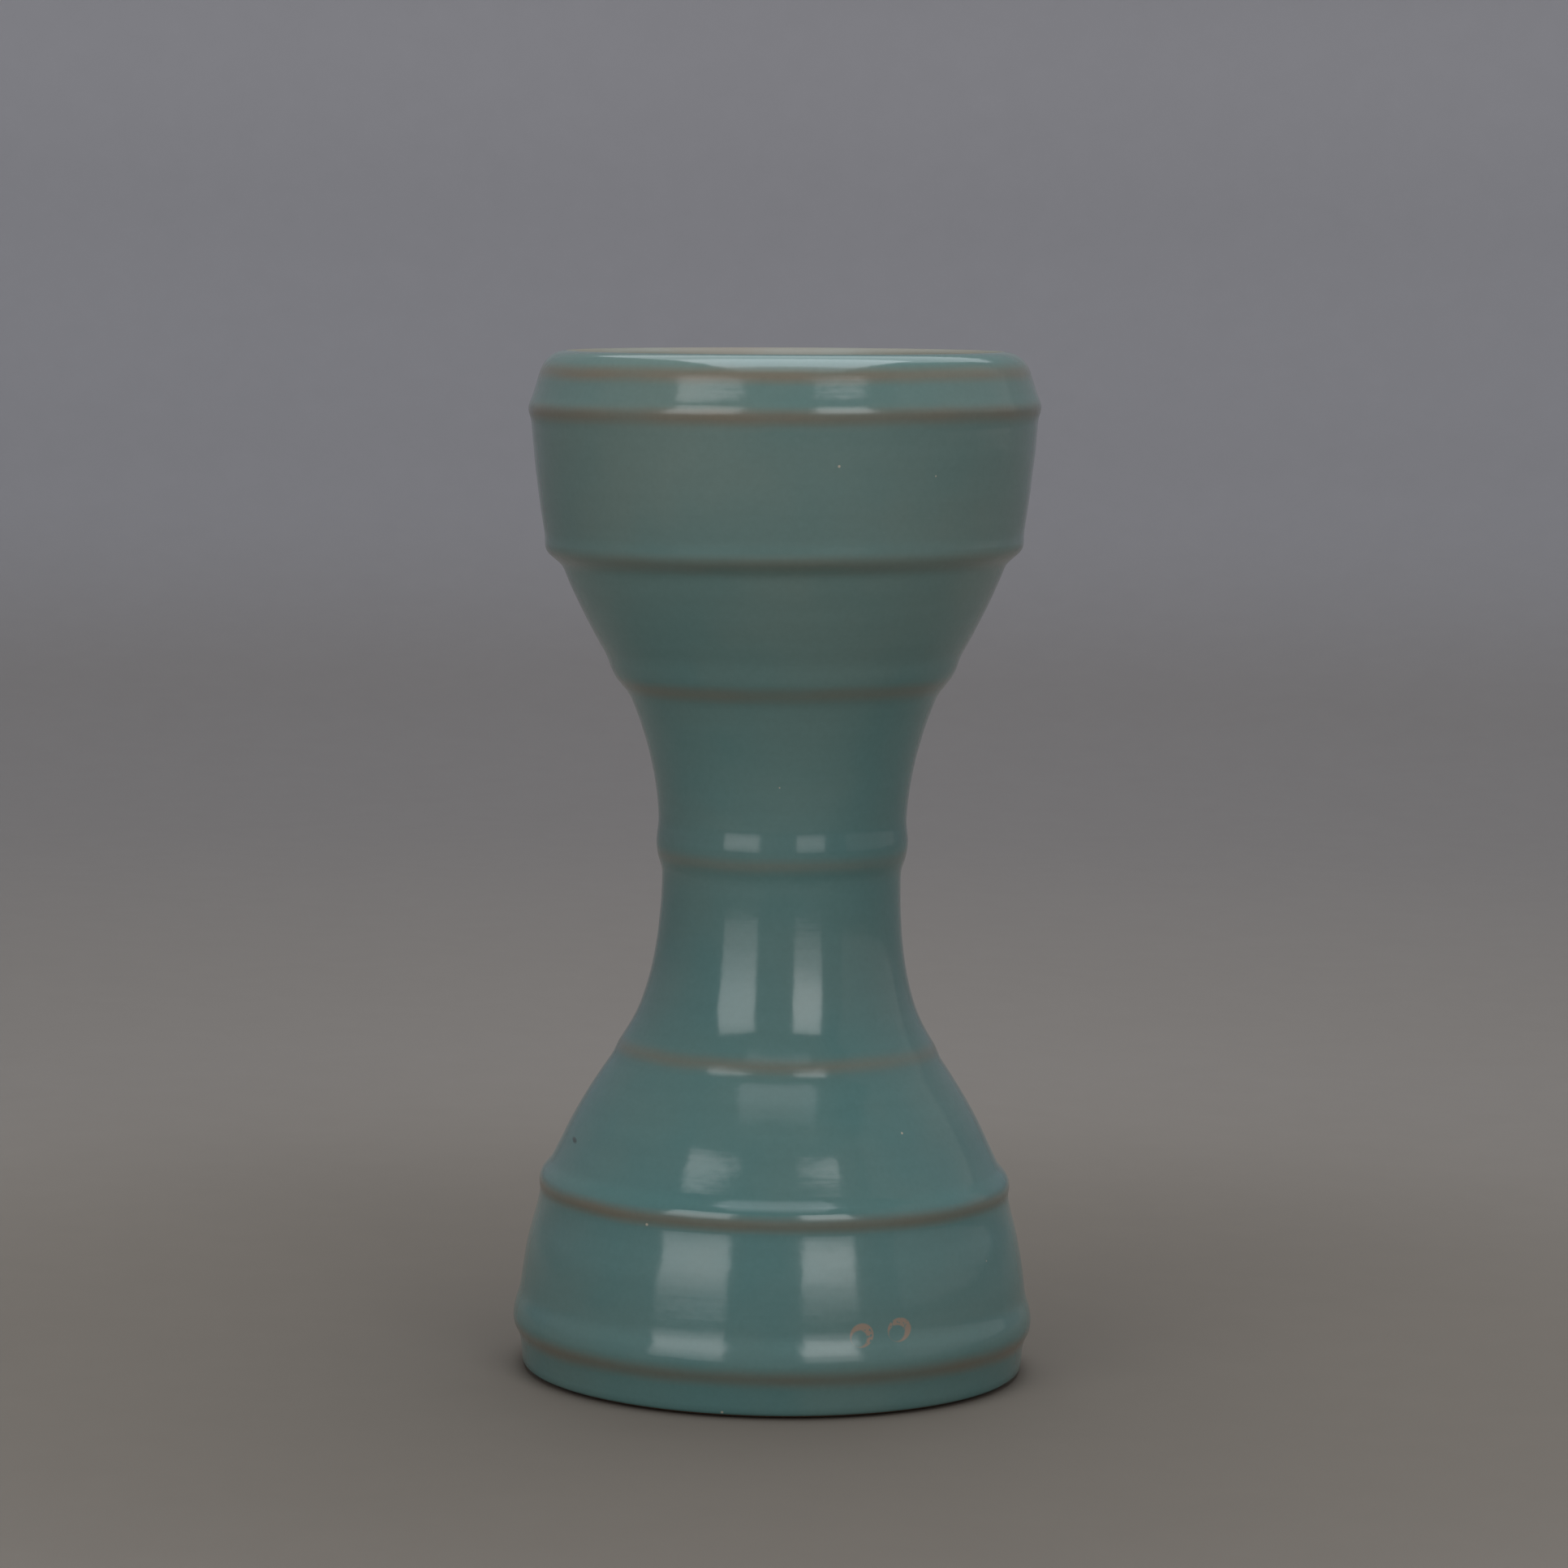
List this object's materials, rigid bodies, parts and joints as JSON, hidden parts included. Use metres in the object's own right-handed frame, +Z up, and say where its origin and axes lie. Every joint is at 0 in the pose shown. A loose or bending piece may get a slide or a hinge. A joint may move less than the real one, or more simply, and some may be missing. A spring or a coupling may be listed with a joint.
{
  "type": "gu vase",
  "caption": "Free-standing celadon gu vase with a flared ringed mouth, a slender waist and a bell foot, hollow to hold water and flower stems.",
  "frame": {"origin": "centre of the foot ring's underside, on the surface that the vase stands on", "axes": "+Z up along the vase's axis, from the foot to the mouth; +Y away from the pictured front"},
  "size_m": [0.0944, 0.0944, 0.185],
  "materials": {
    "stoneware": "matte",
    "slip": "matte",
    "celadon_glaze": "gloss",
    "lining_glaze": "gloss"
  },
  "bodies": {
    "root": {"mouth_section": "stoneware", "waist_section": "stoneware", "foot_section": "stoneware", "floor_disc": "stoneware", "upper_slip_ring": "slip", "lower_slip_ring": "slip", "floor_fillet": "slip", "outer_glaze": "celadon_glaze", "inner_glaze": "lining_glaze", "base_glaze": "celadon_glaze"}
  },
  "joints": []
}
